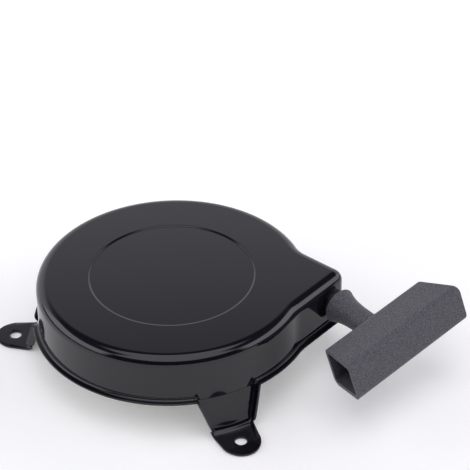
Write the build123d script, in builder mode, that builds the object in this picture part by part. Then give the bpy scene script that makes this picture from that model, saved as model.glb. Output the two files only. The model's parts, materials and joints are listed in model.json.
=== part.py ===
from build123d import *
import math
import os

# Recoil starter for a small engine: a pressed steel housing on three ears, a nylon rope
# pulley with its spring inside, two pawls under a lagging retainer, and a T-handle.
# The origin is on the pulley's axis at the underside of the ears, +Z goes up through the
# closed top, and +X leaves through the wall that the rope comes out of. Millimetres.

os.makedirs("parts", exist_ok=True)

# ---- Driving dimensions ----

# housing
shell_r = 78.0
shell_t = 1.2
rim_z = 22.3
shell_h = 29.9
top_fillet = 6.0
recess_r = 47.0
recess_depth = 0.5
recess_bevel = 1.0
lip_w = 3.4
snout_inset = 3.0
snout_side_inset = 11.4
snout_corner_r = 7.0
snout_blend_r = 35.0
side_blend_r = 20.0

# ears
ear_angles = (-25.15, 94.85, 214.85)
ear_reach = 16.7
ear_hole_d = 6.8
ear_end_r = 11.5
ear_w = 25.0
ear_top_w = 38.0
leg_spread = 5.6
leg_bend_r = 4.0
ear_flange_w = 3.0
ear_lap = 3.0

# centre post, bearings and the screw under it
post_r = 8.0
post_flange_r = 18.0
post_flange_t = 1.2
running_gap = 0.06
loose_gap = 0.4
bush_t = 1.7
thrust_rim = 3.0
screw_d = 6.0
screw_head_r = 8.0
screw_head_h = 3.4
screw_edge_r = 1.4
screw_l = 16.0
cross_l = 8.0
cross_w = 1.6
cross_depth = 2.2
washer_overhang = 1.8
washer_t = 1.0
friction_t = 0.5
friction_space = 0.8

# pulley
pull_drop = 15.7
rope_d = 3.8
rope_gap = 0.1
groove_turns = 3
groove_play = 0.8
groove_depth = 14.0
flange_gap = 2.3
flange_t = 2.2
wall_t = 2.0
dish_depth = 9.2
face_t = 2.4
boss_margin = 2.0
boss_top_inset = 2.0
hub_t = 3.0
rib_count = 6
window_count = 12
window_w = 9.8
window_edge = 0.3
window_angle = -51.0
window_rib_w = 2.8
window_slant = -30.0
window_corner_r = 1.3
knot_angle = 69.0
knot_r = 4.6
knot_drop = 1.2
knot_tail_l = 10.0
axial_gap = 0.2
anchor_angle = 162.0
anchor_slot_w = 1.4
notch_angle = 178.0
notch_w = 6.0
mark_angles = (-49.0, -66.0, -90.0)
mark_inset = 7.5
mark_ring_r = 5.0
mark_ring_w = 0.6
gate_angle = -146.5
gate_inset = 3.5
gate_mark_r = 3.0
mark_h = 0.2
cover_t = 0.8
cover_hole_r = 4.0
cover_hole_count = 4

# rewind spring
strip_w = 12.0
strip_t = 0.6
spring_turns = 16
spring_rise = 1.0
spring_play = 0.8
coil_gap = 0.4
arbor_t = 2.6

# pawls and retainer
pawl_t = 3.0
pawl_pivot_r = 29.0
pawl_pin_r = 2.5
pawl_eye_r = 5.0
pawl_band_w = 5.4
pawl_span = 66.0
pawl_angles = (118.0, 298.0)
pawl_gap = 0.3
pawl_arm_r = 3.2
nub_r = 1.6
nub_h = 1.4
nub_reach = 6.5
nub_lead = 20.0
nub_clearance = 0.25
cam_steps = 12
pawl_travel = 22.0
lag_travel = 20.0
retainer_overhang = 2.0
retainer_t = 2.4
retainer_tab_h = 2.4
retainer_tab_w = 15.0
tab_angles = (136.5, 316.5)
arc_slot_gap = 1.6
arc_slot_w = 2.0
arc_slot_span = 100.0
arc_slot_angles = (6.0, 184.0)
long_slit_angle = -99.0
short_slit_angle = 83.0
short_slit_r = 20.0
slit_hole_r = 2.3
retainer_lip_w = 2.1
retainer_lip_h = 1.2
retainer_hub_t = 3.3
slit_w = 1.4

# pull line and handle
pull_yaw = 9.5
guide_play = 1.1
guide_wall = 1.2
guide_flange_r = 7.5
guide_t = 1.5
guide_clip_w = 0.75
guide_clip_t = 1.0
guide_stub = 0.8
lead_clearance = 2.1
neck_start = 3.8
neck_lip = 1.2
neck_rim_gap = 2.6
neck_waist_r = 7.0
neck_taper = 0.3
neck_flare = 17.0
neck_play = 0.7
grip_u = 46.7
grip_rise = 1.5
grip_shift = 1.7
grip_back_l = 72.5
grip_front_l = 87.0
grip_w = 28.5
grip_back_h = 24.3
grip_front_h = 22.5
grip_wall = 2.6
grip_cant = 17.2
grip_tilt = 4.8
grip_yaw = 2.2
grip_edge_r = 4.2
handle_knot_r = 5.0
handle_knot_gap = 0.8
knot_bite = 0.4
handle_tail_l = 8.0
seat_washer_r = 6.4
seat_washer_t = 1.0

# ---- Sizes that follow from them ----

snout_x = shell_r - snout_inset
snout_y = shell_r - snout_side_inset
leg_foot_r = shell_r + leg_spread
ear_hole_circle_r = shell_r + ear_reach
ear_root_x = shell_r - ear_top_w / 2
ear_tip_x = ear_hole_circle_r + ear_end_r
top_z = rim_z + shell_h
under_recess_z = top_z - recess_depth - shell_t
flange_z = under_recess_z - post_flange_t

pull_z = top_z - pull_drop
groove_w = groove_turns * rope_d + groove_play
groove_low_z = pull_z - groove_w / 2
groove_high_z = pull_z + groove_w / 2
web_z = groove_low_z - flange_t
face_z = web_z - dish_depth
flange_r = shell_r - shell_t - flange_gap
groove_floor_r = flange_r - groove_depth
window_r_out = groove_floor_r - wall_t - window_edge
window_r_in = window_r_out - window_w
well_r = window_r_in - window_edge - wall_t
knot_center_r = (window_r_in + window_r_out) / 2

bore_r = post_r + running_gap
hub_bore_r = bore_r + bush_t
hub_r = hub_bore_r + hub_t
spring_z = groove_low_z + spring_rise
well_top_z = spring_z + strip_w + spring_play
hub_top_z = spring_z - spring_rise
thrust_t = flange_z - well_top_z - cover_t - axial_gap
boss_r = pawl_pivot_r + pawl_eye_r + boss_margin
boss_top_r = well_r - boss_top_inset

rope_hole_z = pull_z - rope_d
layer_r = groove_floor_r + rope_d / 2 + rope_gap
pull_r = layer_r + rope_d

pawl_z = face_z - pawl_gap - pawl_t
retainer_z = pawl_z - pawl_gap - retainer_t
post_end_z = retainer_z - friction_space
washer_r = post_r + washer_overhang
nub_track_r = pawl_pivot_r - nub_reach
retainer_r = pawl_pivot_r + retainer_overhang
retainer_lip_r = washer_r + loose_gap + retainer_lip_w
arc_slot_r = retainer_lip_r + arc_slot_gap

guide_bore_r = rope_d / 2 + guide_play
guide_r = guide_bore_r + guide_wall
neck_bore_r = rope_d / 2 + neck_play
neck_base_r = pull_z - rim_z - shell_t - neck_rim_gap
yaw = math.radians(pull_yaw)
exit_y = (pull_r - snout_x * math.sin(yaw)) / math.cos(yaw)
pull_dir = Vector(math.cos(yaw), -math.sin(yaw), 0)
exit_point = Vector(snout_x, exit_y, pull_z)


def along_pull(distance):
    """A plane square to the pull line, a distance out from the snout's wall."""
    return Plane(origin=exit_point + pull_dir * distance, x_dir=(0, 0, 1), z_dir=pull_dir)


def anchor_plane(z):
    """A level plane whose X points at the slots that hold the spring's ends."""
    towards = Vector(1, 0, 0).rotate(Axis.Z, anchor_angle)
    return Plane(origin=(0, 0, z), x_dir=towards, z_dir=(0, 0, 1))


def ring(inner_r, outer_r, low_z, height):
    """A flat ring about the pulley's axis, joined to the part being built."""
    with BuildSketch(Plane.XY.offset(low_z)) as annulus:
        Circle(outer_r)
        Circle(inner_r, mode=Mode.SUBTRACT)
    extrude(annulus.sketch, amount=height)


def finish(builder, label):
    """Name a finished piece and write it."""
    builder.part.label = label
    export_step(builder.part, f"parts/{label}.step")


# ---- Housing shell: one drawn steel pressing with its ears ----

with BuildSketch() as plan:
    Circle(shell_r)
    Rectangle(snout_x, snout_y, align=(Align.MIN, Align.MIN))
    fillet(plan.vertices().sort_by_distance((snout_x, snout_y, 0))[0], snout_corner_r)
    exit_meet = (snout_x, math.sqrt(shell_r**2 - snout_x**2), 0)
    fillet(plan.vertices().sort_by_distance(exit_meet)[0], snout_blend_r)
    side_meet = (math.sqrt(shell_r**2 - snout_y**2), snout_y, 0)
    fillet(plan.vertices().sort_by_distance(side_meet)[0], side_blend_r)

with BuildPart() as ear_sheet:
    # a bent strip of revolution: wall, sloping leg, bend and flat foot
    with BuildSketch(Plane.XZ):
        with BuildLine():
            leg = FilletPolyline(
                (shell_r - shell_t / 2, rim_z + ear_lap),
                (shell_r - shell_t / 2, rim_z),
                (leg_foot_r, shell_t / 2),
                (ear_tip_x + ear_lap, shell_t / 2),
                radius=leg_bend_r,
            )
        trace(leg, line_width=shell_t)
    revolve(axis=Axis.Z)

with BuildPart() as ear_edges:
    # the ears' stiffening edges, a solid of revolution from the lip down to the foot
    with BuildSketch(Plane.XZ):
        with BuildLine():
            Polyline(
                (shell_r - shell_t, rim_z),
                (shell_r + lip_w, rim_z),
                (leg_foot_r + ear_flange_w + shell_t, shell_t),
                (leg_foot_r + ear_flange_w + shell_t, 0),
                (leg_foot_r, 0),
                (shell_r - shell_t, rim_z - shell_t),
                close=True,
            )
        make_face()
    revolve(axis=Axis.Z)

with BuildPart() as ear_front:
    # the leg seen from outside: wide at the rim, narrow at the foot
    with BuildSketch(Plane.YZ.offset(ear_root_x)):
        with BuildLine():
            Polyline(
                (ear_top_w / 2, rim_z),
                (ear_w / 2, leg_bend_r),
                (ear_w / 2, 0),
                (-ear_w / 2, 0),
                (-ear_w / 2, leg_bend_r),
                (-ear_top_w / 2, rim_z),
                close=True,
            )
        make_face()
    extrude(amount=ear_tip_x - ear_root_x)

with BuildPart() as ear_plan:
    # the ear seen from above, with its rounded end and its hole
    with BuildSketch():
        with Locations((ear_hole_circle_r, 0)):
            Circle(ear_end_r)
        with BuildLine():
            Polyline(
                (ear_root_x, -ear_top_w / 2),
                (leg_foot_r - shell_t, -ear_top_w / 2),
                (leg_foot_r + ear_flange_w, -ear_w / 2),
                (ear_hole_circle_r, -ear_end_r),
                (ear_hole_circle_r, ear_end_r),
                (leg_foot_r + ear_flange_w, ear_w / 2),
                (leg_foot_r - shell_t, ear_top_w / 2),
                (ear_root_x, ear_top_w / 2),
                close=True,
            )
        make_face()
        with Locations((ear_hole_circle_r, 0)):
            Circle(ear_hole_d / 2, mode=Mode.SUBTRACT)
    extrude(amount=rim_z + ear_lap)

with BuildPart() as ear_rims:
    # two thin slanted plates where the leg's edges are turned out
    with BuildSketch(Plane.YZ.offset(ear_root_x)):
        for side in (-1, 1):
            with BuildLine():
                Polyline(
                    (side * (ear_top_w / 2 - shell_t), rim_z),
                    (side * (ear_w / 2 - shell_t), leg_bend_r),
                    (side * (ear_w / 2 - shell_t), 0),
                    (side * ear_w / 2, 0),
                    (side * ear_w / 2, leg_bend_r),
                    (side * ear_top_w / 2, rim_z),
                    close=True,
                )
            make_face()
    extrude(amount=ear_tip_x - ear_root_x)

ear_leg = ear_sheet.part & ear_front.part & ear_plan.part
ear_rim = ear_edges.part & ear_rims.part & ear_plan.part
ear = ear_leg + ear_rim

with BuildPart() as housing_shell:
    with BuildSketch(Plane.XY.offset(rim_z)):
        add(plan.sketch)
    extrude(amount=shell_h)
    fillet(housing_shell.faces().sort_by(Axis.Z)[-1].edges(), top_fillet)
    offset(amount=-shell_t, openings=housing_shell.faces().sort_by(Axis.Z)[0])
    # shallow round recess in the top, with the metal under it pushed down as far
    with BuildSketch(Plane.XY.offset(under_recess_z)):
        Circle(recess_r + recess_bevel)
    extrude(amount=recess_depth)
    with BuildSketch(Plane.XY.offset(top_z - recess_depth)):
        Circle(recess_r)
    bevel_taper = math.degrees(math.atan(recess_bevel / recess_depth))
    extrude(amount=recess_depth, taper=-bevel_taper, mode=Mode.SUBTRACT)
    # rim turned out into a flat lip
    with BuildSketch(Plane.XY.offset(rim_z)):
        offset(plan.sketch, amount=lip_w)
        offset(plan.sketch, amount=-shell_t, mode=Mode.SUBTRACT)
    extrude(amount=shell_t)
    # the lip is interrupted at each ear, where the wall runs on down
    with BuildSketch(Plane.XY.offset(rim_z)):
        for angle in ear_angles:
            with PolarLocations(shell_r + lip_w, 1, start_angle=angle):
                Rectangle(2 * lip_w, ear_top_w - 2 * shell_t)
    extrude(amount=shell_t, mode=Mode.SUBTRACT)
    for angle in ear_angles:
        add(ear.rotate(Axis.Z, angle))
    # hole for the rope guide
    with Locations(Plane(origin=exit_point, z_dir=(1, 0, 0))):
        Hole(guide_r, depth=3 * shell_t)

finish(housing_shell, "housing_shell")

# ---- Centre post, welded under the top, and the rope guide in the snout's wall ----

with BuildPart() as center_post:
    with Locations((0, 0, flange_z)):
        Cylinder(post_flange_r, post_flange_t, align=(Align.CENTER, Align.CENTER, Align.MIN))
    with Locations((0, 0, post_end_z)):
        Cylinder(post_r, flange_z - post_end_z, align=(Align.CENTER, Align.CENTER, Align.MIN))
    with Locations((0, 0, post_end_z)):
        Cylinder(
            screw_d / 2,
            screw_l,
            align=(Align.CENTER, Align.CENTER, Align.MIN),
            mode=Mode.SUBTRACT,
        )
    # slot that takes the rewind spring's inner end
    with BuildSketch(anchor_plane(spring_z)):
        with Locations((post_r, 0)):
            Rectangle(post_r, anchor_slot_w)
    extrude(amount=strip_w, mode=Mode.SUBTRACT)
finish(center_post, "center_post")

with BuildPart() as spring_arbor:
    ring(post_r, post_r + arbor_t, spring_z, strip_w)
    with BuildSketch(anchor_plane(spring_z)):
        with Locations((post_r + arbor_t / 2, 0)):
            Rectangle(2 * arbor_t, anchor_slot_w)
    extrude(amount=strip_w, mode=Mode.SUBTRACT)
finish(spring_arbor, "spring_arbor")

guide_plane = Plane(origin=exit_point, x_dir=(0, 1, 0), z_dir=(1, 0, 0))

with BuildPart() as rope_guide:
    with BuildSketch(guide_plane):
        Circle(guide_flange_r)
    extrude(amount=guide_t)
    with BuildSketch(guide_plane):
        Circle(guide_r)
    extrude(amount=-(shell_t + guide_clip_t + guide_stub))
    with BuildSketch(guide_plane.offset(guide_t)):
        Circle(guide_bore_r)
    extrude(amount=-(guide_t + shell_t + guide_clip_t + guide_stub), mode=Mode.SUBTRACT)
    mouth = rope_guide.edges().filter_by(GeomType.CIRCLE)
    chamfer(mouth.group_by(Axis.X)[-1].sort_by(SortBy.RADIUS)[0], guide_wall)
finish(rope_guide, "rope_guide")

with BuildPart() as guide_clip:
    with BuildSketch(guide_plane.offset(-shell_t)):
        Circle(guide_r + guide_clip_w)
        Circle(guide_r, mode=Mode.SUBTRACT)
    extrude(amount=-guide_clip_t)
finish(guide_clip, "guide_clip")

with BuildPart() as thrust_washer:
    ring(bore_r, post_flange_r - thrust_rim, well_top_z + cover_t + axial_gap / 2, thrust_t)
finish(thrust_washer, "thrust_washer")

with BuildPart() as retaining_washer:
    ring(screw_d / 2 + axial_gap, washer_r, post_end_z - washer_t, washer_t)
finish(retaining_washer, "retaining_washer")

with BuildPart() as friction_washer:
    # wave spring washer that brakes the retainer
    ring(bore_r + rope_gap, washer_r, post_end_z + axial_gap / 2, friction_t)
finish(friction_washer, "friction_washer")

head_z = post_end_z - washer_t - screw_head_h
with BuildPart() as retainer_screw:
    with Locations((0, 0, head_z)):
        Cylinder(screw_head_r, screw_head_h, align=(Align.CENTER, Align.CENTER, Align.MIN))
    fillet(retainer_screw.edges().group_by(Axis.Z)[0], screw_edge_r)
    with Locations((0, 0, head_z + screw_head_h)):
        Cylinder(screw_d / 2, screw_l, align=(Align.CENTER, Align.CENTER, Align.MIN))
    # cross recess
    with Locations((0, 0, head_z)):
        for turn in (0, 90):
            Box(cross_l, cross_w, 2 * cross_depth, rotation=(0, 0, turn), mode=Mode.SUBTRACT)
finish(retainer_screw, "retainer_screw")

# ---- Pulley: a moulded nylon rope wheel with the spring's well on top ----

knot_dir = Vector(1, 0, 0).rotate(Axis.Z, knot_angle)

with BuildSketch() as windows:
    Circle(window_r_out)
    Circle(window_r_in, mode=Mode.SUBTRACT)
    rib_angle = window_angle + 180 / window_count
    with PolarLocations(knot_center_r, window_count, start_angle=rib_angle):
        Rectangle(3 * window_w, window_rib_w, rotation=window_slant, mode=Mode.SUBTRACT)
    fillet(windows.vertices(), window_corner_r)

with BuildPart() as pulley:
    ring(boss_top_r - wall_t, flange_r, web_z, flange_t)
    ring(groove_floor_r - wall_t, groove_floor_r, groove_low_z, groove_w)
    ring(groove_floor_r - wall_t, flange_r, groove_high_z, flange_t)
    ring(well_r, well_r + wall_t, groove_low_z, well_top_z - groove_low_z)
    ring(hub_bore_r, boss_r, face_z, face_t)
    ring(hub_bore_r, hub_r, face_z, hub_top_z - face_z)
    # dished wall between the face and the web
    with BuildSketch(Plane.XZ):
        with BuildLine():
            Polyline(
                (boss_r - wall_t, face_z),
                (boss_r, face_z),
                (boss_top_r, web_z),
                (boss_top_r, groove_low_z),
                (boss_top_r - wall_t, groove_low_z),
                (boss_top_r - wall_t, web_z),
                close=True,
            )
        make_face()
    revolve(axis=Axis.Z)
    # ribs that carry the spring
    rib_in = hub_r - hub_t / 2
    rib_out = boss_r - wall_t
    with BuildSketch(Plane.XY.offset(face_z + face_t)):
        with PolarLocations((rib_in + rib_out) / 2, rib_count):
            Rectangle(rib_out - rib_in, wall_t)
    extrude(amount=hub_top_z - face_z - face_t)
    # lightening windows between slanted ribs
    with BuildSketch(Plane.XY.offset(web_z)):
        add(windows.sketch)
    extrude(amount=flange_t, mode=Mode.SUBTRACT)
    # notch in the flange's edge
    with BuildSketch(Plane.XY.offset(web_z)):
        with PolarLocations(flange_r, 1, start_angle=notch_angle):
            SlotOverall(3 * notch_w, notch_w)
    extrude(amount=flange_t, mode=Mode.SUBTRACT)
    # T-shaped slot in the web, and a slot in the well's wall, for the spring's outer end
    with BuildSketch(anchor_plane(web_z)):
        with Locations((well_r, 0)):
            Rectangle(2 * wall_t, anchor_slot_w)
        with Locations((well_r - wall_t, 0)):
            Rectangle(anchor_slot_w, 3 * anchor_slot_w)
    extrude(amount=flange_t, mode=Mode.SUBTRACT)
    with BuildSketch(anchor_plane(spring_z)):
        with Locations((well_r + wall_t / 2, 0)):
            Rectangle(2 * wall_t, anchor_slot_w)
    extrude(amount=well_top_z - spring_z, mode=Mode.SUBTRACT)
    # raised rings and a gate mark left by the mould
    with BuildSketch(Plane.XY.offset(web_z)):
        for angle in mark_angles:
            with PolarLocations(flange_r - mark_inset, 1, start_angle=angle):
                Circle(mark_ring_r)
                Circle(mark_ring_r - mark_ring_w, mode=Mode.SUBTRACT)
        with PolarLocations(flange_r - gate_inset, 1, start_angle=gate_angle):
            Circle(gate_mark_r)
    extrude(amount=-mark_h)
    # pins that the pawls turn on
    with BuildSketch(Plane.XY.offset(face_z)):
        for angle in pawl_angles:
            with PolarLocations(pawl_pivot_r, 1, start_angle=angle):
                Circle(pawl_pin_r)
    extrude(amount=-(pawl_t + pawl_gap))
    # hole for the rope's inner end
    hole_at = knot_dir * (groove_floor_r - wall_t / 2) + Vector(0, 0, rope_hole_z)
    with Locations(Plane(origin=hole_at, z_dir=knot_dir)):
        Cylinder(rope_d / 2 + 2 * rope_gap, 2 * wall_t, mode=Mode.SUBTRACT)
finish(pulley, "pulley")

with BuildPart() as pulley_bush:
    ring(bore_r, hub_bore_r, face_z, hub_top_z - face_z)
finish(pulley_bush, "pulley_bush")

with BuildPart() as spring_cover:
    ring(post_r + loose_gap, well_r + wall_t, well_top_z, cover_t)
    with PolarLocations((post_r + well_r) / 2, cover_hole_count):
        with Locations((0, 0, well_top_z + cover_t / 2)):
            Cylinder(cover_hole_r, 2 * cover_t, mode=Mode.SUBTRACT)
finish(spring_cover, "spring_cover")

# ---- Rewind spring: a flat strip wound in half circles from the arbor to the well's wall ----

coil_in = post_r + arbor_t + strip_t + coil_gap
coil_out = well_r - strip_t - coil_gap
hook_in = post_r - arbor_t
hook_out = well_r + wall_t / 2
coil_pitch = (coil_out - coil_in) / spring_turns

with BuildPart() as rewind_spring:
    with BuildSketch(anchor_plane(spring_z)):
        with BuildLine() as strip_line:
            for half in range(2 * spring_turns):
                half_r = coil_in + half * coil_pitch / 2
                lower = half % 2
                CenterArc((lower * coil_pitch / 2, 0), half_r, 180 * lower, 180)
        trace(strip_line.line, line_width=strip_t)
        # ends turned square, one into the post's slot and one into the well's
        with Locations(((coil_in + hook_in) / 2, 0)):
            Rectangle(coil_in - hook_in, strip_t)
        with Locations(((coil_out + hook_out) / 2, 0)):
            Rectangle(hook_out - coil_out, strip_t)
    extrude(amount=strip_w)
finish(rewind_spring, "rewind_spring")

# ---- Rope wound on the pulley, and the knot that holds its inner end ----

with BuildPart() as rope_coil:
    with BuildSketch(Plane.XZ):
        with Locations((groove_floor_r + rope_gap + rope_d / 4, pull_z)):
            Rectangle(rope_d / 2, 2 * rope_d)
        for turn in (-1, 0, 1):
            with Locations((layer_r, pull_z + turn * rope_d)):
                Circle(rope_d / 2)
        with Locations((pull_r, pull_z)):
            Circle(rope_d / 2)
        with Locations(((layer_r + pull_r) / 2, pull_z)):
            Rectangle(rope_d, rope_d / 2)
    revolve(axis=Axis.Z)
finish(rope_coil, "rope_coil")

knot_at = knot_dir * knot_center_r + Vector(0, 0, rope_hole_z - knot_drop)
with BuildPart() as pulley_knot:
    with Locations(knot_at):
        Sphere(knot_r)
    stub_l = groove_floor_r - knot_center_r
    stub_at = knot_dir * (knot_center_r + stub_l / 2) + Vector(0, 0, rope_hole_z)
    with Locations(Plane(origin=stub_at, z_dir=knot_dir)):
        Cylinder(rope_d / 2, stub_l)
    with Locations(Plane(origin=knot_at + Vector(-knot_tail_l / 2, 0, 0), z_dir=(-1, 0, 0))):
        Cylinder(rope_d / 2, knot_tail_l)
finish(pulley_knot, "pulley_knot")

# ---- Pawls: nested beside the retainer, swung out by a nub that runs in its cam slot ----


def polar(radius, angle):
    """A point in the pulley's plane."""
    return Vector(radius, 0, 0).rotate(Axis.Z, angle)


for letter, angle in zip("ab", pawl_angles):
    pivot = polar(pawl_pivot_r, angle)
    nub = polar(nub_track_r, angle - nub_lead)
    with BuildPart() as pawl:
        with BuildSketch(Plane.XY.offset(pawl_z)):
            Circle(pawl_pivot_r + pawl_eye_r)
            Circle(pawl_pivot_r + pawl_eye_r - pawl_band_w, mode=Mode.SUBTRACT)
            # keep the stretch of the ring from the pivot to the tip
            with BuildLine():
                Polyline(
                    (0, 0),
                    polar(2 * pawl_pivot_r, angle),
                    polar(2 * pawl_pivot_r, angle - pawl_span / 2),
                    polar(2 * pawl_pivot_r, angle - pawl_span),
                    close=True,
                )
            make_face(mode=Mode.INTERSECT)
            with Locations(pivot):
                Circle(pawl_eye_r)
            # arm that carries the nub inwards
            arm_mid = (nub + polar(pawl_pivot_r, angle - nub_lead)) / 2
            with Locations(arm_mid):
                Rectangle(
                    pawl_pivot_r - nub_track_r,
                    2 * pawl_arm_r,
                    rotation=angle - nub_lead,
                )
            with Locations(nub):
                Circle(pawl_arm_r)
            with Locations(pivot):
                Circle(pawl_pin_r + running_gap, mode=Mode.SUBTRACT)
        extrude(amount=pawl_t)
        with BuildSketch(Plane.XY.offset(pawl_z)):
            with Locations(nub):
                Circle(nub_r)
        extrude(amount=-nub_h)
    finish(pawl, f"pawl_{letter}")

# ---- Retainer: a split plastic disc that lags behind the pulley ----

with BuildPart() as retainer:
    with BuildSketch(Plane.XY.offset(retainer_z)):
        Circle(retainer_r)
        for angle in tab_angles:
            with PolarLocations(retainer_r, 1, start_angle=angle):
                Rectangle(2 * retainer_tab_h, retainer_tab_w)
        Circle(bore_r, mode=Mode.SUBTRACT)
    extrude(amount=retainer_t)
    sleeve_z = retainer_z + retainer_t
    ring(bore_r, bore_r + retainer_hub_t, sleeve_z, face_z - axial_gap - sleeve_z)
    ring(washer_r + loose_gap, retainer_lip_r, retainer_z - retainer_lip_h, retainer_lip_h)
    # two curved slots beside the hub
    with BuildSketch(Plane.XY.offset(retainer_z)):
        for angle in arc_slot_angles:
            SlotArc(
                CenterArc((0, 0), arc_slot_r, angle - arc_slot_span / 2, arc_slot_span),
                arc_slot_w,
                mode=Mode.ADD,
            )
    extrude(amount=retainer_t, mode=Mode.SUBTRACT)
    # the long split to the rim, and the short one that ends in a round hole
    slit_h = face_z - retainer_z
    with BuildSketch(Plane.XY.offset(retainer_z - retainer_lip_h)):
        with PolarLocations(retainer_r / 2, 1, start_angle=long_slit_angle):
            Rectangle(retainer_r + slit_w, slit_w)
        with PolarLocations(short_slit_r / 2, 1, start_angle=short_slit_angle):
            Rectangle(short_slit_r, slit_w)
        with PolarLocations(short_slit_r, 1, start_angle=short_slit_angle):
            Circle(slit_hole_r)
    extrude(amount=slit_h + retainer_lip_h, mode=Mode.SUBTRACT)
    # cam slots in the upper face: the nub's path as the retainer lags
    with BuildSketch(Plane.XY.offset(sleeve_z)):
        for angle in pawl_angles:
            pivot_axis = Axis(polar(pawl_pivot_r, angle), (0, 0, 1))
            start = polar(nub_track_r, angle - nub_lead)
            for step in range(cam_steps + 1):
                share = step / cam_steps
                swung = Vertex(start).rotate(pivot_axis, share * pawl_travel)
                lagged = swung.rotate(Axis.Z, -share * lag_travel)
                with Locations(lagged.center()):
                    Circle(nub_r + nub_clearance)
    extrude(amount=-(nub_h + axial_gap), mode=Mode.SUBTRACT)
finish(retainer, "retainer")

# ---- Lie of the handle: its grip hangs a little askew on the pull line ----

line_plane = Plane(origin=exit_point, x_dir=pull_dir, z_dir=pull_dir.cross(Vector(0, 0, 1)))
pull_axis = Axis(exit_point, pull_dir)
level_frame = Plane(origin=along_pull(grip_u).origin, x_dir=pull_dir, z_dir=(0, 0, 1))
grip_level = level_frame.move(Location(level_frame.y_dir * grip_shift + Vector(0, 0, grip_rise)))
grip_frame = grip_level.rotated((grip_tilt, -grip_cant, grip_yaw))
section_plane = Plane(grip_frame.origin, x_dir=grip_frame.x_dir, z_dir=-grip_frame.y_dir)
# the pull line meets the inner face of the grip's back wall here
back_wall = grip_frame.from_local_coords((-grip_w / 2 + grip_wall, 0, 0))
seat_u = (back_wall - exit_point).dot(grip_frame.x_dir) / pull_dir.dot(grip_frame.x_dir)

# ---- Rope lead and its knot in the handle ----

tangent_u = -(snout_x - pull_r * math.sin(yaw)) / math.cos(yaw)
lead_start = tangent_u + math.sqrt(2 * pull_r * rope_d) + lead_clearance
knot_u = seat_u + seat_washer_t + handle_knot_r + handle_knot_gap

with BuildPart() as rope_lead:
    with BuildSketch(along_pull(lead_start)):
        Circle(rope_d / 2)
    extrude(amount=knot_u - handle_knot_r + knot_bite - lead_start)
finish(rope_lead, "rope_lead")

with BuildPart() as handle_knot:
    with Locations(along_pull(knot_u)):
        Sphere(handle_knot_r)
    with Locations(along_pull(knot_u + handle_knot_r)):
        Cylinder(rope_d / 2, handle_tail_l)
finish(handle_knot, "handle_knot")

# ---- Handle: a hollow T-grip on a flared neck, and the washer that the knot pulls on ----

with BuildSketch(section_plane) as grip_section:
    with BuildLine():
        Polyline(
            (-grip_w / 2, -grip_back_h / 2),
            (grip_w / 2, -grip_front_h / 2),
            (grip_w / 2, grip_front_h / 2),
            (-grip_w / 2, grip_back_h / 2),
            close=True,
        )
    make_face()
    fillet(grip_section.vertices(), grip_edge_r)

with BuildPart() as handle_grip:
    extrude(grip_section.sketch, amount=grip_front_l, both=True)
    with BuildSketch(grip_frame.offset(-grip_front_h)):
        with BuildLine():
            Polyline(
                (-grip_w / 2, -grip_back_l / 2),
                (grip_w / 2, -grip_front_l / 2),
                (grip_w / 2, grip_front_l / 2),
                (-grip_w / 2, grip_back_l / 2),
                close=True,
            )
        make_face()
    extrude(amount=2 * grip_front_h, mode=Mode.INTERSECT)
    # flared neck, turned about the pull line
    with BuildSketch(line_plane):
        with BuildLine():
            flare = Spline(
                (neck_start + neck_lip, neck_base_r),
                (neck_start + neck_flare / 2, (neck_base_r + 2 * neck_waist_r) / 3),
                (neck_start + neck_flare, neck_waist_r + neck_taper),
                (seat_u, neck_waist_r),
            )
            Polyline((seat_u, neck_waist_r), (seat_u, 0), (neck_start, 0))
            Polyline((neck_start, 0), (neck_start, neck_base_r - neck_lip), flare @ 0)
        make_face()
    revolve(axis=pull_axis)
    # the grip is open from end to end, and the rope comes in through the neck
    with BuildSketch(section_plane):
        add(grip_section.sketch_local)
        offset(amount=-grip_wall, mode=Mode.REPLACE)
    extrude(amount=grip_front_l, both=True, mode=Mode.SUBTRACT)
    with BuildSketch(along_pull(neck_start)):
        Circle(neck_bore_r)
    extrude(amount=seat_u - neck_start + grip_wall, mode=Mode.SUBTRACT)
finish(handle_grip, "handle_grip")

with BuildPart() as handle_washer:
    with BuildSketch(Plane(origin=along_pull(seat_u).origin, z_dir=grip_frame.x_dir)):
        Circle(seat_washer_r)
    extrude(amount=seat_washer_t)
    with BuildSketch(along_pull(neck_start)):
        Circle(neck_bore_r)
    extrude(amount=grip_u - neck_start, mode=Mode.SUBTRACT)
finish(handle_washer, "handle_washer")
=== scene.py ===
import json
import math

import bmesh
import bpy
from mathutils import Matrix, Vector


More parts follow.
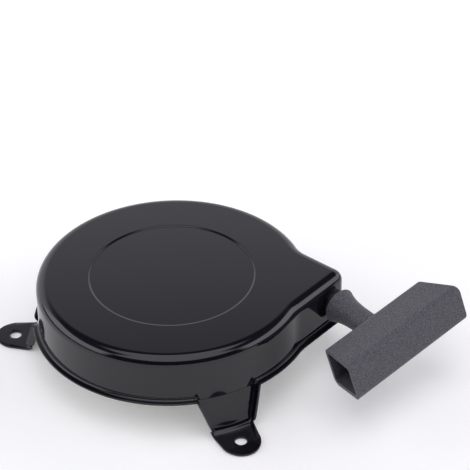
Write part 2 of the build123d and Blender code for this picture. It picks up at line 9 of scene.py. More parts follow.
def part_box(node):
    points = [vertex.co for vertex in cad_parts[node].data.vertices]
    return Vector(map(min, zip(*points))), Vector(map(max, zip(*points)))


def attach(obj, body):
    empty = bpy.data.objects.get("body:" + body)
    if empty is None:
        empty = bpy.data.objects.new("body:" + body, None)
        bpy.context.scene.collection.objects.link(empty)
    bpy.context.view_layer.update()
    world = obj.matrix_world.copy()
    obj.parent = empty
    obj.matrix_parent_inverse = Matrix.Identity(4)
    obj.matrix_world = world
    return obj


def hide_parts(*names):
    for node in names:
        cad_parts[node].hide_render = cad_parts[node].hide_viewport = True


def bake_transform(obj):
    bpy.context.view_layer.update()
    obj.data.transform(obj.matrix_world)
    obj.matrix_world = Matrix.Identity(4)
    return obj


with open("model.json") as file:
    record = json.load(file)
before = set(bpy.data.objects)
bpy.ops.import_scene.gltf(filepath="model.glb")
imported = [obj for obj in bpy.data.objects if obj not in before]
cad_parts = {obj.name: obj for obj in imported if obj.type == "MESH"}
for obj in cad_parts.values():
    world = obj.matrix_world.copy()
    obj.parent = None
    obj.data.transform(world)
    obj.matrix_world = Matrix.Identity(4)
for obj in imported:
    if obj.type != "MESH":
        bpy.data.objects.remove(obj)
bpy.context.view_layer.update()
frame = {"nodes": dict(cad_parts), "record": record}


# ---- Camera ----
# A long lens on a tripod, a little over a metre away, looking down on the starter from the
# corner between the rope's wall and the front ear.

RIM_Z = 0.0223
CAMERA_TURN = math.radians(43.5)
CAMERA_RISE = math.radians(37.95)
CAMERA_ROLL = math.radians(-0.85)
CAMERA_AWAY = 1.125
LENS_MM = 148.1
SENSOR_MM = 36.0
NEAREST = 0.05
FARTHEST = 20.0
AIM = Vector((-0.0172, 0.0751, 0.030))

camera_data = bpy.data.cameras.new("camera")
camera_data.lens = LENS_MM
camera_data.sensor_width = SENSOR_MM
camera_data.clip_start = NEAREST
camera_data.clip_end = FARTHEST
camera = bpy.data.objects.new("camera", camera_data)
bpy.context.collection.objects.link(camera)
level = CAMERA_AWAY * math.cos(CAMERA_RISE)
camera.location = (
    level * math.sin(CAMERA_TURN),
    -level * math.cos(CAMERA_TURN),
    RIM_Z + CAMERA_AWAY * math.sin(CAMERA_RISE),
)
aimed = (AIM - camera.location).to_track_quat("-Z", "Y").to_matrix()
camera.rotation_euler = (aimed @ Matrix.Rotation(CAMERA_ROLL, 3, "Z")).to_euler()
bpy.context.scene.camera = camera


# ---- Studio ----
# A sheet of white card under the part, a lit wall behind it, a wide soft box overhead, and one
# on each side. They draw the bands along the enamel's bends. All but the card are the sky.


def srgb(code):
    """A hex colour as the linear values that a shader takes."""
    shown = [int(code[i : i + 2], 16) / 255 for i in (1, 3, 5)]
    linear = [c / 12.92 if c <= 0.04045 else ((c + 0.055) / 1.055) ** 2.4 for c in shown]
    return (*linear, 1.0)


def add_node(tree, kind, links=None, **settings):
    """Adds a node. Settings are its properties or its inputs, and links feed its inputs."""
    node = tree.nodes.new(kind)
    for name, value in settings.items():
        if hasattr(node, name):
            setattr(node, name, value)
        else:
            node.inputs[name.replace("_", " ")].default_value = value
    for name, source in (links or {}).items():
        tree.links.new(source, node.inputs[name])
    return node


def new_material(name, **settings):
    """A principled material with its constant values on the shader's own sockets."""
    material = bpy.data.materials.new(name)
    material.use_nodes = True
    shader = material.node_tree.nodes["Principled BSDF"]
    for socket, value in settings.items():
        shader.inputs[socket.replace("_", " ")].default_value = value
    return material, material.node_tree, shader


world = bpy.data.worlds.new("studio")
bpy.context.scene.world = world
bpy.context.scene.view_settings.view_transform = "Standard"
world.use_nodes = True
sky = world.node_tree
STUDIO_STRENGTH = 2.3
BOX_EDGES = (0.50, 0.62)
facing = Vector((math.sin(CAMERA_TURN), -math.cos(CAMERA_TURN), 0))
way = add_node(sky, "ShaderNodeTexCoord").outputs["Generated"]
height = add_node(sky, "ShaderNodeSeparateXYZ", {"Vector": way}).outputs["Z"]
ahead = add_node(sky, "ShaderNodeVectorMath", {0: way}, operation="DOT_PRODUCT")
ahead.inputs[1].default_value = facing
level_way = add_node(sky, "ShaderNodeVectorMath", {0: way}, operation="MULTIPLY")
level_way.inputs[1].default_value = (1, 1, 0)
level_length = add_node(
    sky, "ShaderNodeVectorMath", {0: level_way.outputs[0]}, operation="LENGTH"
)
to_room = add_node(
    sky,
    "ShaderNodeMath",
    {0: ahead.outputs["Value"], 1: level_length.outputs["Value"]},
    operation="DIVIDE",
)


def zones(stops):
    """Brightness of the studio by height: the sine of the angle above the floor, and a colour."""
    ramp = add_node(sky, "ShaderNodeValToRGB", {"Fac": height})
    marks = ramp.color_ramp.elements
    while len(marks) < len(stops):
        marks.new(0.5)
    for mark, (rise, colour) in zip(marks, stops):
        mark.position = rise
        mark.color = srgb(colour)
    return ramp.outputs["Color"]


# behind the part a lit wall that darkens upwards, at its sides two cool soft boxes, and in
# front a dark room. A wide soft box hangs over all of them.
back_wall = zones(
    [
        (0.50, "#B8B7BA"),
        (0.57, "#A5A4A8"),
        (0.60, "#8E8D92"),
        (0.635, "#6B6A70"),
        (0.72, "#26262A"),
        (0.92, "#202024"),
        (0.94, "#D6D4D8"),
    ]
)
side_boxes = zones(
    [
        (0.00, "#100F12"),
        (0.14, "#141318"),
        (0.17, "#F2F0FF"),
        (0.62, "#FFFFFF"),
        (0.68, "#3A393E"),
        (0.88, "#202024"),
        (0.92, "#D6D4D8"),
    ]
)
dark_room = zones(
    [
        (0.00, "#0C0C0E"),
        (0.60, "#101012"),
        (0.66, "#D6D4D8"),
        (0.96, "#D6D4D8"),
    ]
)
to_sides = add_node(
    sky,
    "ShaderNodeMapRange",
    {"Value": to_room.outputs[0]},
    From_Min=-BOX_EDGES[1],
    From_Max=-BOX_EDGES[0],
)
to_front = add_node(
    sky,
    "ShaderNodeMapRange",
    {"Value": to_room.outputs[0]},
    From_Min=BOX_EDGES[0],
    From_Max=BOX_EDGES[1],
)
back_and_sides = add_node(
    sky,
    "ShaderNodeMix",
    {0: to_sides.outputs[0], 6: back_wall, 7: side_boxes},
    data_type="RGBA",
)
all_round = add_node(
    sky,
    "ShaderNodeMix",
    {0: to_front.outputs[0], 6: back_and_sides.outputs[2], 7: dark_room},
    data_type="RGBA",
)
studio_light = sky.nodes["Background"]
studio_light.inputs["Strength"].default_value = STUDIO_STRENGTH
sky.links.new(all_round.outputs[2], studio_light.inputs["Color"])

# matt card spreads the light and gives no highlight. A faint glow keeps it near white under
# the part.
CARD_SIZE = 8.0
CARD_DROP = 0.0005
bpy.ops.mesh.primitive_plane_add(size=CARD_SIZE, location=(0, 0, -CARD_DROP))
floor = bpy.context.object
floor.name = "floor"
card = new_material(
    "white_card",
    Base_Color=srgb("#FAFAFA"),
    Roughness=0.9,
    Specular_IOR_Level=0.1,
    Emission_Color=srgb("#FFFFFF"),
    Emission_Strength=0.14,
)[0]
floor.data.materials.append(card)


# ---- Housing ----
# Drawn sheet steel, 1.2 mm thick, in stoved black enamel. The enamel flows before it sets,
# so it is deep and glossy with a faint orange peel of about 2 mm. Handling dulls it a little
# in soft patches of about 25 mm.

PEEL = 0.002
PEEL_H = 0.00004
DULL_PATCH = 0.025
enamel, tree, shader = new_material("stoved_black_enamel", Base_Color=srgb("#121017"), IOR=1.5)
place = add_node(tree, "ShaderNodeTexCoord").outputs["Object"]
peel = add_node(
    tree, "ShaderNodeTexNoise", {"Vector": place}, Scale=1 / PEEL, Detail=2.0, Roughness=0.5
)
flow = add_node(
    tree, "ShaderNodeBump", {"Height": peel.outputs[0]}, Strength=0.05, Distance=PEEL_H
)
tree.links.new(flow.outputs[0], shader.inputs["Normal"])
patches = add_node(
    tree, "ShaderNodeTexNoise", {"Vector": place}, Scale=1 / DULL_PATCH, Detail=6.0, Roughness=0.65
)
gloss = add_node(
    tree, "ShaderNodeMapRange", {"Value": patches.outputs[0]}, To_Min=0.05, To_Max=0.11
)
tree.links.new(gloss.outputs[0], shader.inputs["Roughness"])

TOP_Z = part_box("housing_shell")[1].z
SHEET = 0.0012
WALL_R = 0.078
TOP_BEND = 0.006
LIP_W = 0.0034
LIP_BEND = 0.0016
RECESS_R = 0.047
RECESS_BEVEL = 0.0009
RECESS_DEPTH = 0.0005
SNOUT_X = 0.075
SNOUT_Y = 0.0666
SNOUT_CORNER = 0.007
LOW_BLEND = 0.035
SIDE_BLEND = 0.020
EAR_TURNS = [math.radians(turn) for turn in (94.85, 214.85, 334.85)]
EAR_TOP_W = 0.038
LIP_END = 0.0006
FLAT_EDGE = 0.0004
STATION = math.radians(1.2)
LINE_STEPS = 12


def wall_arc(centre, radius, start, end, faces=1.0):
    """Stations round an arc of the wall: a point, and the way that the wall faces there."""
    count = max(2, math.ceil(abs(end - start) / STATION))
    turns = [start + (end - start) * step / count for step in range(count)]
    spokes = [Vector((math.cos(turn), math.sin(turn))) for turn in turns]
    return [(centre + spoke * radius, spoke * faces) for spoke in spokes]


def wall_line(start, end, way):
    """Stations along a straight stretch of the wall."""
    return [(start.lerp(end, step / LINE_STEPS), way) for step in range(LINE_STEPS)]


def heading(point):
    """The angle of a point about the pulley's axis."""
    return math.atan2(point.y, point.x)


axis = Vector((0, 0))
low_x = SNOUT_X + LOW_BLEND
low_centre = Vector((low_x, math.sqrt((WALL_R + LOW_BLEND) ** 2 - low_x**2)))
side_y = SNOUT_Y + SIDE_BLEND
side_centre = Vector((math.sqrt((WALL_R + SIDE_BLEND) ** 2 - side_y**2), side_y))
corner_centre = Vector((SNOUT_X - SNOUT_CORNER, SNOUT_Y - SNOUT_CORNER))

# the round wall is divided at the ears, where its lip stops
ear_half_turn = (EAR_TOP_W / 2 - SHEET) / WALL_R
lip_end = LIP_END / WALL_R
marks = [heading(side_centre)]
for turn in EAR_TURNS:
    marks += [turn - ear_half_turn - lip_end, turn - ear_half_turn]
    marks += [turn + ear_half_turn, turn + ear_half_turn + lip_end]
marks.append(heading(low_centre) + 2 * math.pi)
stations = []
for start, end in zip(marks, marks[1:]):
    stations += wall_arc(axis, WALL_R, start, end)
low_meet = heading(-low_centre) + 2 * math.pi
stations += wall_arc(low_centre, LOW_BLEND, low_meet, math.pi, faces=-1.0)
stations += wall_line(
    Vector((SNOUT_X, low_centre.y)), Vector((SNOUT_X, corner_centre.y)), Vector((1, 0))
)
stations += wall_arc(corner_centre, SNOUT_CORNER, 0, math.pi / 2)
stations += wall_line(
    Vector((corner_centre.x, SNOUT_Y)), Vector((side_centre.x, SNOUT_Y)), Vector((0, 1))
)
side_meet = heading(-side_centre)
stations += wall_arc(side_centre, SIDE_BLEND, -math.pi / 2, side_meet, faces=-1.0)


def lip_share(point):
    """0 where an ear leaves the wall, and 1 where the lip is whole."""
    turn = heading(point) % (2 * math.pi)
    off = min(abs(turn - ear) for ear in EAR_TURNS)
    return 0.0 if off < ear_half_turn + lip_end / 2 else 1.0


def bend(inset, height, radius, start, end, steps):
    """A bend in the sheet's section, as distances in from the wall and heights."""
    turns = [math.radians(start + (end - start) * step / steps) for step in range(steps + 1)]
    return [(inset + radius * math.cos(turn), height + radius * math.sin(turn)) for turn in turns]


bend_z = TOP_Z - TOP_BEND
lip_bend_z = RIM_Z + SHEET + LIP_BEND
outside = bend(SHEET / 2 - LIP_W, RIM_Z + SHEET / 2, SHEET / 2, 270, 90, steps=6)
outside += bend(-LIP_BEND, lip_bend_z, LIP_BEND, 270, 360, steps=6)
outside += bend(TOP_BEND, bend_z, TOP_BEND, 180, 90, steps=16)
outside.append((TOP_BEND + FLAT_EDGE, TOP_Z))
inside = bend(TOP_BEND, bend_z, TOP_BEND - SHEET, 90, 180, steps=8)
inside += bend(-LIP_BEND, lip_bend_z, LIP_BEND + SHEET, 360, 270, steps=6)

# the recess's edge eases down, and rings close to each bend keep the flats flat
recess = [(RECESS_R + RECESS_BEVEL + FLAT_EDGE, TOP_Z)]
for share in (1.0, 0.85, 0.7, 0.5, 0.3, 0.15, 0.0):
    sunk = RECESS_DEPTH * (0.5 + 0.5 * math.cos(math.pi * share))
    recess.append((RECESS_R + RECESS_BEVEL * share, TOP_Z - sunk))
for radius in (RECESS_R - FLAT_EDGE, RECESS_R / 2, RECESS_R / 20):
    recess.append((radius, TOP_Z - RECESS_DEPTH))


def section_ring(sheet, inset, height):
    """One ring of points round the shell, following its outline."""
    ring = []
    for point, way in stations:
        outward = -inset if inset > 0 else -inset * lip_share(point)
        place = point + way * outward
        ring.append(sheet.verts.new((place.x, place.y, height)))
    return ring


def round_ring(sheet, radius, height):
    """One ring of points round the recess."""
    turns = [heading(point) for point, way in stations]
    return [
        sheet.verts.new((radius * math.cos(turn), radius * math.sin(turn), height))
        for turn in turns
    ]


def skin(sheet, rings):
    """Faces between neighbouring rings."""
    for low, high in zip(rings, rings[1:]):
        for here in range(len(low)):
            there = (here + 1) % len(low)
            sheet.faces.new((low[here], low[there], high[there], high[here]))


def piece_from(sheet, name, material):
    """A finished piece from its sheet of faces."""
    mesh = bpy.data.meshes.new(name)
    sheet.to_mesh(mesh)
    sheet.free()
    mesh.shade_smooth()
    mesh.materials.append(material)
    piece = bpy.data.objects.new(name, mesh)
    bpy.context.collection.objects.link(piece)
    return piece


sheet = bmesh.new()
outer_rings = [section_ring(sheet, inset, height) for inset, height in outside]
outer_rings += [round_ring(sheet, radius, height) for radius, height in recess]
under_rings = [round_ring(sheet, radius, height - SHEET) for radius, height in reversed(recess)]
under_rings += [section_ring(sheet, inset, height) for inset, height in inside]
skin(sheet, outer_rings)
skin(sheet, under_rings + outer_rings[:1])
sheet.faces.new(outer_rings[-1])
sheet.faces.new(under_rings[0])
bmesh.ops.recalc_face_normals(sheet, faces=sheet.faces)
housing = piece_from(sheet, "housing", enamel)
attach(housing, "housing")
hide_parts("housing_shell")


# ---- Ears ----
# Part of the same pressing. A blank with a rounded end and a punched hole is bent down and
# out to a flat foot, and the edges of its leg are turned out to stiffen it.

ear_holes = frame["record"]["mounts"][0]["dims"]
HOLE_CIRCLE = ear_holes["pcd_mm"] / 2000
HOLE_R = ear_holes["hole_r_mm"] / 1000
EAR_END_R = 0.0115
EAR_W = 0.025
EAR_BEND = 0.0046
EAR_ROOT = 0.003
FOOT_START = 0.0836
FLANGE_H = 0.0031
FLANGE_BEND = 0.0012
FLANGE_FADE = 0.006
FLANGE_RUN_ON = 0.002
TIP_SPARE = 0.002
WORN_EDGE = 0.0003

# the root is let into the wall by SINK, so that the two skins don't lie on each other, and the
# outline's corners stand off the cuts by HAIR, so that a cut doesn't pass through one
SINK = 0.00004
HAIR = 0.00001
BEND_STEPS = 8
HOLE_STEPS = 32
END_STEPS = 24
BLANK_STEPS = 24
STRIP_W = 0.0012
SAME_PLACE = 1e-6

# where the blank is cut lengthwise, out from the fold: close together across the fold itself
FOLD_CUTS = (-0.012, -0.006, -0.0012, -0.0008, -0.0004, 0.0, 0.0004, 0.0008, 0.0016)


def bent_line(corners, radius):
    """Stations along a bent line: how far along, the point, and its upper side."""
    path = [corners[0]]
    for before, corner, after in zip(corners, corners[1:], corners[2:]):
        way_in, way_out = (corner - before).normalized(), (after - corner).normalized()
        half = way_in.angle(way_out) / 2
        reach = radius * math.tan(half)
        start, end = corner - way_in * reach, corner + way_out * reach
        centre = corner + (way_out - way_in).normalized() * radius / math.cos(half)
        for step in range(BEND_STEPS + 1):
            spoke = (start - centre).lerp(end - centre, step / BEND_STEPS).normalized()
            path.append(centre + spoke * radius)
    path.append(corners[-1])
    line = []
    run = 0.0
    for here, there in zip(path, path[1:]):
        length = (there - here).length
        count = max(1, round(length / STRIP_W))
        for step in range(count):
            line.append((run + length * step / count, here.lerp(there, step / count)))
        run += length
    line.append((run, path[-1]))
    stations = []
    for index, (run, place) in enumerate(line):
        before = line[max(0, index - 1)][1]
        after = line[min(len(line) - 1, index + 1)][1]
        way = (after - before).normalized()
        stations.append((run, place, Vector((-way.y, way.x))))
    return stations


tip_r = HOLE_CIRCLE + EAR_END_R + TIP_SPARE
leg = bent_line(
    [
        Vector((WALL_R - SINK, RIM_Z + EAR_ROOT)),
        Vector((WALL_R - SINK, RIM_Z)),
        Vector((FOOT_START, SHEET)),
        Vector((tip_r, SHEET)),
    ],
    EAR_BEND,
)
hole_run = leg[-1][0] - (tip_r - HOLE_CIRCLE)
foot_run = leg[-1][0] - (tip_r - FOOT_START)


def on_leg(run):
    """The place on the leg's section at a distance along it, and its upper side."""
    for (low, here, up), (high, there, up_there) in zip(leg, leg[1:]):
        if run <= high:
            share = (run - low) / (high - low)
            return here.lerp(there, share), up.lerp(up_there, share).normalized()
    return leg[-1][1], leg[-1][2]


def half_width(run):
    """Half the leg's width between its turned edges."""
    share = min(1.0, max(0.0, (run - EAR_ROOT) / (foot_run - EAR_ROOT)))
    return (EAR_TOP_W + (EAR_W - EAR_TOP_W) * share) / 2 - SHEET


def flange(run):
    """How much blank stands outside the fold at a distance along the leg."""
    fade = min(1.0, max(0.0, (foot_run + FLANGE_BEND - run) / FLANGE_FADE))
    whole = FLANGE_H + FLANGE_BEND * (math.pi / 2 - 1) - SHEET
    return SHEET + whole * math.sin(fade * math.pi / 2)


def bent(run, across):
    """Where a point of the flat blank goes when it is bent."""
    place, up = on_leg(run)
    side = math.copysign(1.0, across)
    over = abs(across) - half_width(run) + FLANGE_BEND
    standing = EAR_ROOT - SHEET < run < foot_run
    lift = 0.0
    reach = abs(across)
    if over > 0 and standing:
        quarter = FLANGE_BEND * math.pi / 2
        turn = min(over, quarter) / FLANGE_BEND
        reach = half_width(run) - FLANGE_BEND + FLANGE_BEND * math.sin(turn)
        lift = FLANGE_BEND * (1 - math.cos(turn)) + max(0.0, over - quarter)
    sag = WALL_R - math.sqrt(WALL_R**2 - reach**2)
    place = place + up * lift
    return Vector((place.x - sag, side * reach, place.y))


def ear_blank():
    """The flat blank with its hole, cut into narrow strips so that it can be bent."""
    blank = bmesh.new()
    root_half = half_width(0.0) - FLANGE_BEND
    side = [(0.0, root_half), (EAR_ROOT - SHEET, root_half)]
    for step in range(BLANK_STEPS + 1):
        reach = (foot_run + FLANGE_RUN_ON - EAR_ROOT) * step / BLANK_STEPS
        run = EAR_ROOT - SHEET + reach
        side.append((run + HAIR, half_width(run) + flange(run)))
    end = []
    for step in range(END_STEPS + 1):
        turn = math.pi / 2 - math.pi * step / END_STEPS
        end.append((hole_run + EAR_END_R * math.cos(turn), EAR_END_R * math.sin(turn)))
    outline = side + end + [(run, -across) for run, across in reversed(side)]
    turns = [math.tau * step / HOLE_STEPS for step in range(HOLE_STEPS)]
    hole = [
        (hole_run + HOLE_R * math.cos(turn), HOLE_R * math.sin(turn)) for turn in turns
    ]
    for loop in (outline, hole):
        corners = [blank.verts.new((run, across, 0)) for run, across in loop]
        for here, there in zip(corners, corners[1:] + corners[:1]):
            blank.edges.new((here, there))
    bmesh.ops.triangle_fill(blank, edges=blank.edges, use_beauty=True)

    # cuts across at each station of the leg, and along it at each side of both folds
    cuts = [((run, 0, 0), (1, 0, 0)) for run, place, up in leg[1:-1]]
    lean = (half_width(foot_run) - half_width(EAR_ROOT)) / (foot_run - EAR_ROOT)
    for side in (-1, 1):
        for out in FOLD_CUTS:
            across = side * (half_width(EAR_ROOT) + out)
            cuts.append(((EAR_ROOT, across, 0), (side * lean, -1, 0)))
    for through, way in cuts:
        everything = blank.verts[:] + blank.edges[:] + blank.faces[:]
        bmesh.ops.bisect_plane(
            blank, geom=everything, plane_co=through, plane_no=way, dist=SAME_PLACE
        )
    bmesh.ops.recalc_face_normals(blank, faces=blank.faces)
    if blank.faces[:][0].normal.z < 0:
        bmesh.ops.reverse_faces(blank, faces=blank.faces)
    for vert in blank.verts:
        vert.co = bent(vert.co.x, vert.co.y)
    return blank


whole_blank = ear_blank()
for index, turn in enumerate(EAR_TURNS):
    blank = whole_blank.copy()
    round_axis = Matrix.Rotation(turn, 3, "Z")
    bmesh.ops.rotate(blank, verts=blank.verts, cent=(0, 0, 0), matrix=round_axis)
    ear = piece_from(blank, f"ear_{index + 1}", enamel)
    gauge = ear.modifiers.new("sheet", "SOLIDIFY")
    gauge.thickness = SHEET
    gauge.offset = -1.0
    worn = ear.modifiers.new("edges", "BEVEL")
    worn.width = WORN_EDGE
    worn.segments = 2
    worn.angle_limit = math.radians(50)
    ear.parent = housing


# ---- Post, bearings, clips and the spring ----
# Turned mild steel with its cutting marks, strip steel blued by tempering, a sintered bronze
# bush and a zinc-plated screw. Most of them are inside, seen through the windows and past the
# flange.


def dress(material, *nodes):
    """Gives CAD nodes a material."""
    for name in nodes:
        carried = frame["nodes"][name]
        carried.data.materials.clear()
        carried.data.materials.append(material)


MARK_H = 0.00005


def machined(name, colour, roughness, mark):
    """Bare metal with fine turned or rolled marks, a real size apart."""
    metal, tree, shader = new_material(name, Base_Color=srgb(colour), Metallic=1.0)
    place = add_node(tree, "ShaderNodeTexCoord").outputs["Object"]
    marks = add_node(
        tree, "ShaderNodeTexNoise", {"Vector": place}, Scale=1 / mark, Detail=3.0, Roughness=0.6
    )
    spread = add_node(
        tree,
        "ShaderNodeMapRange",
        {"Value": marks.outputs[0]},
        To_Min=roughness - 0.08,
        To_Max=roughness + 0.12,
    )
    tree.links.new(spread.outputs[0], shader.inputs["Roughness"])
    relief = add_node(
        tree, "ShaderNodeBump", {"Height": marks.outputs[0]}, Strength=0.15, Distance=MARK_H
    )
    tree.links.new(relief.outputs[0], shader.inputs["Normal"])
    return metal


# turned steel is grey with tool marks 0.6 mm apart, tempered strip is darker and bluer, sintered
# bronze is warm and matt with grains of 0.4 mm, and zinc plate is cool and the brightest
dress(
    machined("turned_steel", "#A9ABAF", roughness=0.35, mark=0.0006),
    "center_post",
    "spring_arbor",
    "guide_clip",
    "spring_cover",
    "retaining_washer",
    "handle_washer",
)
dress(
    machined("blued_spring_steel", "#5D6470", roughness=0.32, mark=0.0012),
    "rewind_spring",
    "friction_washer",
)
dress(machined("sintered_bronze", "#B08A55", roughness=0.45, mark=0.0004), "pulley_bush")
dress(machined("zinc_plate", "#C9CDD6", roughness=0.24, mark=0.0005), "retainer_screw")


# ---- Rope guide ----
# A black glass-filled nylon eyelet, moulded, with a wide smooth mouth. The rope polishes it in
# patches about 2 mm wide.

RUBBED_PATCH = 0.002
guide_nylon, tree, shader = new_material("black_nylon", Base_Color=srgb("#17171A"), IOR=1.53)
place = add_node(tree, "ShaderNodeTexCoord").outputs["Object"]
rubbed = add_node(
    tree, "ShaderNodeTexNoise", {"Vector": place}, Scale=1 / RUBBED_PATCH, Detail=3.0
)
polish = add_node(
    tree, "ShaderNodeMapRange", {"Value": rubbed.outputs[0]}, To_Min=0.25, To_Max=0.5
)
tree.links.new(polish.outputs[0], shader.inputs["Roughness"])
dress(guide_nylon, "rope_guide")


# ---- Pulley ----
# Natural nylon, injection moulded about 2 mm thick. It is milky, so light goes a few
# millimetres in and edges look cooler and paler than the flat faces. The retainer, the pawls
# and the thrust washer are cream acetal, which is a little warmer and shinier.

FLOW_MARK = 0.0222
SKIN_GRAIN = 0.0008
SKIN_H = 0.00004
LIGHT_DEPTH = (0.004, 0.0035, 0.003)


def moulded(name, colour, deep, roughness, glow):
    """A translucent moulding with faint flow marks."""
    plastic, tree, shader = new_material(
        name,
        Roughness=roughness,
        IOR=1.53,
        Subsurface_Weight=glow,
        Subsurface_Radius=LIGHT_DEPTH,
        Subsurface_Scale=1.0,
    )
    place = add_node(tree, "ShaderNodeTexCoord").outputs["Object"]
    flow = add_node(
        tree,
        "ShaderNodeTexNoise",
        {"Vector": place},
        Scale=1 / FLOW_MARK,
        Detail=4.0,
        Roughness=0.5,
    )
    tone = add_node(tree, "ShaderNodeMix", {"Factor": flow.outputs[0]}, data_type="RGBA")
    tone.inputs[6].default_value = srgb(colour)
    tone.inputs[7].default_value = srgb(deep)
    tree.links.new(tone.outputs[2], shader.inputs["Base Color"])
    grain = add_node(
        tree, "ShaderNodeTexNoise", {"Vector": place}, Scale=1 / SKIN_GRAIN, Detail=2.0
    )
    relief = add_node(
        tree, "ShaderNodeBump", {"Height": grain.outputs[0]}, Strength=0.1, Distance=SKIN_H
    )
    tree.links.new(relief.outputs[0], shader.inputs["Normal"])
    return plastic


milky = moulded("natural_nylon", "#DADBD0", "#C9CDC6", roughness=0.42, glow=0.25)
dress(milky, "pulley")
cream = moulded("cream_acetal", "#E6E1CD", "#DAD5BF", roughness=0.36, glow=0.2)
dress(cream, "retainer", "pawl_a", "pawl_b", "thrust_washer")


# ---- Rope ----
# Braided polyester starter cord, 3.8 mm thick. Its eight bundles of yarn, laid over and under
# each other, leave rows of small pale diamonds, and the grooves between them are painted darker
# as painted shade. It is wound on the pulley in four turns, leaves along a tangent, and is
# knotted in a window of the pulley and in the handle.

ROPE_R = 0.0019
ROPE_SIDES = 14
BRAID_ROUND = 8
BRAID_PITCH = 0.0048
YARN_H = 0.0003

# the UV map holds the metres along the rope and the share of a turn round it
rope_yarn, tree, shader = new_material(
    "braided_polyester", Roughness=0.75, Sheen_Weight=0.25, Sheen_Roughness=0.4
)
unrolled = add_node(tree, "ShaderNodeUVMap", uv_map="along")
parts = add_node(tree, "ShaderNodeSeparateXYZ", {"Vector": unrolled.outputs["UV"]})
along = add_node(tree, "ShaderNodeMath", {0: parts.outputs["X"]}, operation="MULTIPLY")
along.inputs[1].default_value = 2 * math.pi / BRAID_PITCH
about = add_node(tree, "ShaderNodeMath", {0: parts.outputs["Y"]}, operation="MULTIPLY")
about.inputs[1].default_value = math.pi * BRAID_ROUND
lays = []
for direction in ("ADD", "SUBTRACT"):
    slant = add_node(
        tree, "ShaderNodeMath", {0: along.outputs[0], 1: about.outputs[0]}, operation=direction
    )
    wave = add_node(tree, "ShaderNodeMath", {0: slant.outputs[0]}, operation="SINE")
    lays.append(add_node(tree, "ShaderNodeMath", {0: wave.outputs[0]}, operation="ABSOLUTE"))
braid = add_node(
    tree, "ShaderNodeMath", {0: lays[0].outputs[0], 1: lays[1].outputs[0]}, operation="MAXIMUM"
)
relief = add_node(
    tree, "ShaderNodeBump", {"Height": braid.outputs[0]}, Strength=0.9, Distance=YARN_H
)
tree.links.new(relief.outputs[0], shader.inputs["Normal"])
# painted shade: the braid's grooves are coloured darker than the yarn's own pale colour, which the
# crowns keep
groove_shade_paint = add_node(tree, "ShaderNodeValToRGB", {"Fac": braid.outputs[0]})
groove_shade_paint.color_ramp.elements[0].position = 0.45
groove_shade_paint.color_ramp.elements[0].color = srgb("#A8A395")
groove_shade_paint.color_ramp.elements[1].position = 0.85
groove_shade_paint.color_ramp.elements[1].color = srgb("#F3EFE5")
tree.links.new(groove_shade_paint.outputs[0], shader.inputs["Base Color"])


def rope_along(name, line, radius):
    """A round rope along a line of points, with its surface unrolled for the braid."""
    sheet = bmesh.new()
    unroll = sheet.loops.layers.uv.new("along")
    rings = []
    runs = [0.0]
    side = (line[1] - line[0]).orthogonal().normalized()
    for index, place in enumerate(line):
        way = (line[min(index + 1, len(line) - 1)] - line[max(index - 1, 0)]).normalized()
        side = (side - way * side.dot(way)).normalized()
        other = way.cross(side)
        ring = []
        for step in range(ROPE_SIDES):
            turn = math.tau * step / ROPE_SIDES
            spoke = side * math.cos(turn) + other * math.sin(turn)
            ring.append(sheet.verts.new(place + spoke * radius))
        rings.append(ring)
        if index:
            runs.append(runs[-1] + (place - line[index - 1]).length)
    for index, (low, high) in enumerate(zip(rings, rings[1:])):
        for here in range(ROPE_SIDES):
            there = (here + 1) % ROPE_SIDES
            face = sheet.faces.new((low[here], low[there], high[there], high[here]))
            places = (
                (index, here),
                (index, here + 1),
                (index + 1, here + 1),
                (index + 1, here),
            )
            for loop, (step, turn) in zip(face.loops, places):
                loop[unroll].uv = (runs[step], turn / ROPE_SIDES)
    for ring in (rings[0], rings[-1]):
        sheet.faces.new(ring)
    bmesh.ops.recalc_face_normals(sheet, faces=sheet.faces)
    return piece_from(sheet, name, rope_yarn)


def middle(node):
    """The middle of a CAD node's box."""
    low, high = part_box(node)
    return (low + high) / 2


LEAD_STEPS = 60
TURN_STEPS = 96
UNDER_TURNS = 3
ALL_TURNS = 4
CLIMB_START = 2.9
CLIMB_TURNS = 0.2
WOUND_SQUASH = 0.97

joints = frame["record"]["behaviour"]["joints"]
pull = next(joint for joint in joints if joint["name"] == "handle_pull")
pull_way = Vector(pull["axis"]).normalized()
lead_middle = middle("rope_lead")
knot_middle = middle("handle_knot")
lead_end = lead_middle + pull_way * (knot_middle - lead_middle).dot(pull_way)
wound_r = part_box("rope_coil")[1].x - ROPE_R
rope_z = lead_middle.z
leave = Vector((-pull_way.y, pull_way.x, 0)) * wound_r + Vector((0, 0, rope_z))
lead_line = [leave.lerp(lead_end, step / LEAD_STEPS) for step in range(LEAD_STEPS + 1)]
lead = rope_along("rope_lead_braid", lead_line, ROPE_R)
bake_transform(lead)
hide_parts("rope_lead")

# three turns beside each other in the groove, and one over them that runs into the lead
layer_r = wound_r - 2 * ROPE_R
first_turn = heading(leave.xy) - ALL_TURNS * math.tau
coil_line = []
for step in range(ALL_TURNS * TURN_STEPS + 1):
    done = step / TURN_STEPS
    turn = first_turn + math.tau * done
    climb = min(1.0, max(0.0, (done - CLIMB_START) / CLIMB_TURNS))
    radius = layer_r + (wound_r - layer_r) * climb
    rise = 2 * min(done, CLIMB_START) / CLIMB_START - 1.0
    back = 1.0 - min(1.0, max(0.0, done - UNDER_TURNS))
    height = rope_z + 2 * ROPE_R * rise * back
    coil_line.append(Vector((radius * math.cos(turn), radius * math.sin(turn), height)))
coil = rope_along("rope_turns", coil_line, ROPE_R * WOUND_SQUASH)
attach(coil, "pulley")
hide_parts("rope_coil")


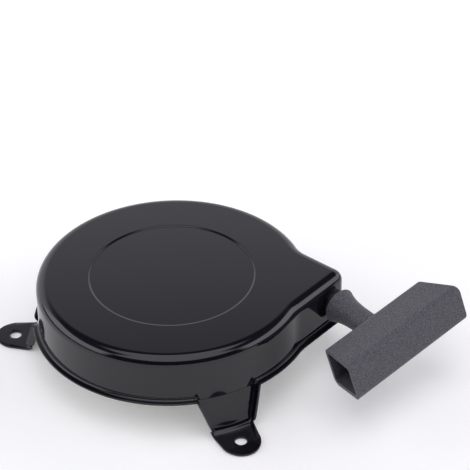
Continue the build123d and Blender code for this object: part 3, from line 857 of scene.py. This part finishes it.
KNOT_START = 0.35
KNOT_END = 5.95
KNOT_STEPS = 90
KNOT_LENGTHEN = 1.3
SMOOTH_STEPS = 4
INNER_TURN = math.radians(69)
INNER_KNOT_R = 0.0533
INNER_KNOT_RISE = 0.0046
INNER_ROOT_R = 0.0603
INNER_SIZE = 0.00098
INNER_PULLED_R = 0.00165
TAIL_IN = 0.0012
TAIL_ASIDE = 0.001
TAIL_DOWN = 0.0006
OUTER_SIZE = 0.00105
OUTER_PULLED_R = 0.0017
OUTER_BACK = 0.002
OUTER_TAIL = 0.0062
OUTER_ROOT = 0.0068


def smooth_line(points):
    """A line eased through its points, with its corners rounded off."""
    line = []
    padded = [points[0]] + points + [points[-1]]
    for before, here, there, after in zip(padded, padded[1:], padded[2:], padded[3:]):
        for step in range(SMOOTH_STEPS):
            share = step / SMOOTH_STEPS
            place = 2 * here + (there - before) * share
            place += (2 * before - 5 * here + 4 * there - after) * share**2
            place += (3 * here - before - 3 * there + after) * share**3
            line.append(place / 2)
    return line + [points[-1]]


def overhand(centre, across, through, size):
    """Points of a tight overhand knot about a line, which enters and leaves along it."""
    third = through.cross(across).normalized()
    line = []
    for step in range(KNOT_STEPS + 1):
        turn = KNOT_START + (KNOT_END - KNOT_START) * step / KNOT_STEPS
        wide = math.sin(turn) + 2 * math.sin(2 * turn)
        tall = math.cos(turn) - 2 * math.cos(2 * turn)
        deep = -math.sin(3 * turn) * KNOT_LENGTHEN
        line.append(centre + (across * wide + third * tall + through * deep) * size)
    return line


# the inner end's knot lies in a window with a short tail, and its rope is pulled thinner than
# the rest
knot_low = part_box("pulley_knot")[0]
out_way = Vector((math.cos(INNER_TURN), math.sin(INNER_TURN), 0))
inner_middle = out_way * INNER_KNOT_R + Vector((0, 0, knot_low.z + INNER_KNOT_RISE))
inner_root = out_way * INNER_ROOT_R + Vector((0, 0, rope_z - 2 * ROPE_R))
inner_tail = Vector(
    (knot_low.x + TAIL_IN, inner_middle.y - TAIL_ASIDE, inner_middle.z - TAIL_DOWN)
)
inner_line = [inner_root]
inner_line += overhand(inner_middle, Vector((-out_way.y, out_way.x, 0)), out_way, INNER_SIZE)
inner_line.append(inner_tail)
inner = rope_along("pulley_knot_braid", smooth_line(inner_line), INNER_PULLED_R)
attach(inner, "pulley")
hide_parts("pulley_knot")

# the outer end's knot bears on the washer in the grip
outer_middle = knot_middle - pull_way * OUTER_BACK
outer_line = [knot_middle - pull_way * OUTER_ROOT]
outer_line += overhand(outer_middle, Vector((0, 0, 1)), pull_way, OUTER_SIZE)
outer_line.append(knot_middle + pull_way * OUTER_TAIL)
outer = rope_along("handle_knot_braid", smooth_line(outer_line), OUTER_PULLED_R)
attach(outer, "rope_end")
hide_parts("handle_knot")


# ---- Handle ----
# A T-shaped grip on a flared neck, in dark grey polypropylene from a spark-textured mould.
# That leaves a fine matt grain, which catches the light as specks; the specks are painted
# highlights, lighter colour on the grain's high points. It is drawn 0.6 mm wide, coarser than
# the real one, so that it shows.

GRAIN = 0.0006
GRAIN_H = 0.00012
handle_plastic, tree, shader = new_material(
    "spark_textured_polypropylene", Roughness=0.62, IOR=1.49
)
place = add_node(tree, "ShaderNodeTexCoord").outputs["Object"]
grit = add_node(
    tree, "ShaderNodeTexNoise", {"Vector": place}, Scale=1 / GRAIN, Detail=3.0, Roughness=0.6
)
relief = add_node(
    tree, "ShaderNodeBump", {"Height": grit.outputs[0]}, Strength=0.5, Distance=GRAIN_H
)
tree.links.new(relief.outputs[0], shader.inputs["Normal"])
# painted highlights: the grain's high points are coloured lighter, for the light that they catch
painted_grain_highlights = add_node(tree, "ShaderNodeValToRGB", {"Fac": grit.outputs[0]})
painted_grain_highlights.color_ramp.elements[0].position = 0.38
painted_grain_highlights.color_ramp.elements[0].color = srgb("#35343A")
painted_grain_highlights.color_ramp.elements[1].position = 0.72
painted_grain_highlights.color_ramp.elements[1].color = srgb("#6B6A73")
tree.links.new(painted_grain_highlights.outputs[0], shader.inputs["Base Color"])
dress(handle_plastic, "handle_grip")
